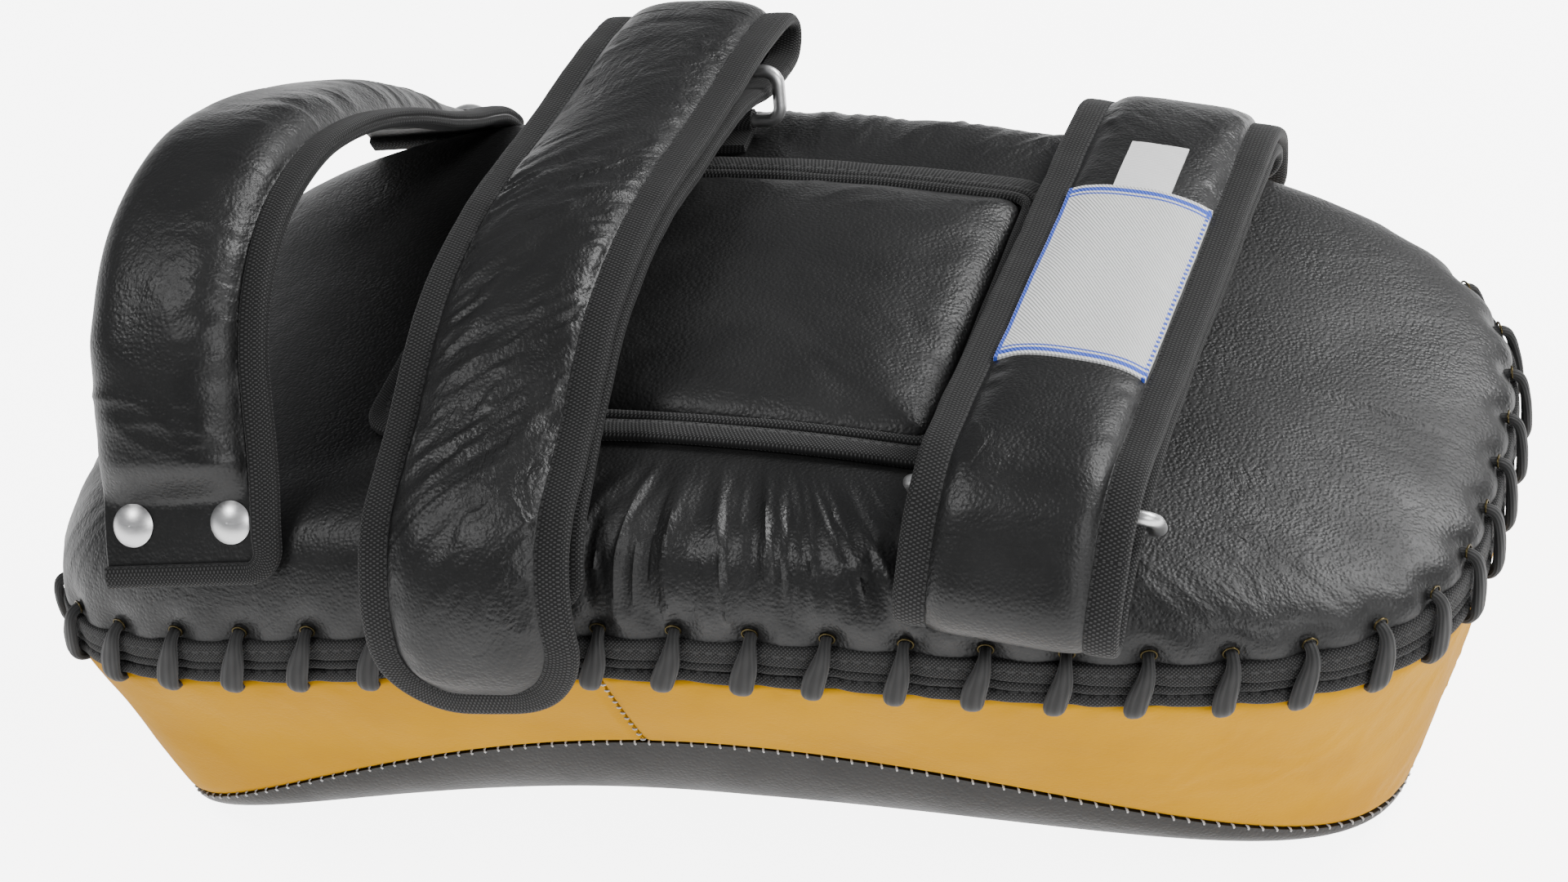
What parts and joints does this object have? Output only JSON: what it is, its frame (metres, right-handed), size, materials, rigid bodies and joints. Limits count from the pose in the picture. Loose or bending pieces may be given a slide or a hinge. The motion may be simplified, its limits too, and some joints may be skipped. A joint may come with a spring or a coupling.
{
  "type": "thai pad",
  "caption": "Curved foam striking pad held on the forearm: laced leather back, padded arm cushion, adjustable forearm straps through metal rings, and a padded riveted hand grip.",
  "frame": {"origin": "on the ground under the middle of the pad, at the level of the striking face's lowest point", "axes": "+X along the pad towards the elbow end, +Z out of the forearm side, +Y across; the pad lies on its striking face"},
  "size_m": [0.3856, 0.2486, 0.1981],
  "materials": {
    "black_leather": "semi-gloss, fine grain",
    "yellow_leather": "semi-gloss, smooth",
    "woven_tape": "matte woven nylon",
    "lace": "matte braid",
    "hook_and_loop": "matte pile",
    "white_weave": "satin weave",
    "satin_metal": "satin nickel",
    "foam_soft": "matte open-cell foam",
    "foam_firm": "matte closed-cell foam"
  },
  "bodies": {
    "pad": {"strike_face": "black_leather", "side_band_grip_end": "yellow_leather", "side_band_elbow_end": "yellow_leather", "back_cover": "black_leather", "foam_strike_layer": "foam_soft", "foam_core_layer": "foam_firm", "foam_back_layer": "foam_soft", "rim_binding_top": "woven_tape", "rim_binding_middle": "woven_tape", "rim_binding_low": "woven_tape", "rim_lace": "lace", "cushion_cover": "black_leather", "cushion_foam": "foam_soft", "cushion_binding": "woven_tape", "cushion_piping": "woven_tape", "strap_1_base": "black_leather", "strap_1_base_tape": "woven_tape", "strap_1_fold": "black_leather", "strap_1_loop_patch": "hook_and_loop", "ring_1_keeper": "woven_tape", "strap_2_base": "black_leather", "strap_2_base_tape": "woven_tape", "strap_2_fold": "black_leather", "strap_2_loop_patch": "hook_and_loop", "ring_2_keeper": "woven_tape", "grip_cover": "black_leather", "grip_foam": "foam_soft", "grip_tape": "woven_tape", "grip_rivets_near": "satin_metal", "grip_rivets_far": "satin_metal"},
    "ring_1_body": {"ring_1": "satin_metal"},
    "ring_2_body": {"ring_2": "satin_metal"},
    "flap_1_body": {"strap_1_flap": "black_leather", "strap_1_flap_foam": "foam_soft", "strap_1_flap_tape": "woven_tape", "strap_1_hook_patch": "hook_and_loop"},
    "flap_2_body": {"strap_2_flap": "black_leather", "strap_2_flap_foam": "foam_soft", "strap_2_flap_tape": "woven_tape", "strap_2_hook_patch": "hook_and_loop", "woven_label": "white_weave", "size_tag": "white_weave"}
  },
  "joints": [
    {"name": "ring_1_swing", "type": "hinge", "parent": "pad", "child": "ring_1_body", "pos_m": [-0.04858, 0.081, 0.13939], "axis": [0.9981, 0, 0.061], "range_deg": [-9, 9]},
    {"name": "ring_2_swing", "type": "hinge", "parent": "pad", "child": "ring_2_body", "pos_m": [0.08725, -0.077, 0.13222], "axis": [0.9914, 0, -0.1305], "range_deg": [-15, 8]},
    {"name": "flap_1_open", "type": "hinge", "parent": "pad", "child": "flap_1_body", "pos_m": [-0.04958, 0.1075, 0.15586], "axis": [-0.9981, 0, -0.061], "range_deg": [0, 105]},
    {"name": "flap_2_open", "type": "hinge", "parent": "pad", "child": "flap_2_body", "pos_m": [0.0887, -0.1063, 0.14323], "axis": [0.9914, 0, -0.1305], "range_deg": [0, 105]}
  ]
}
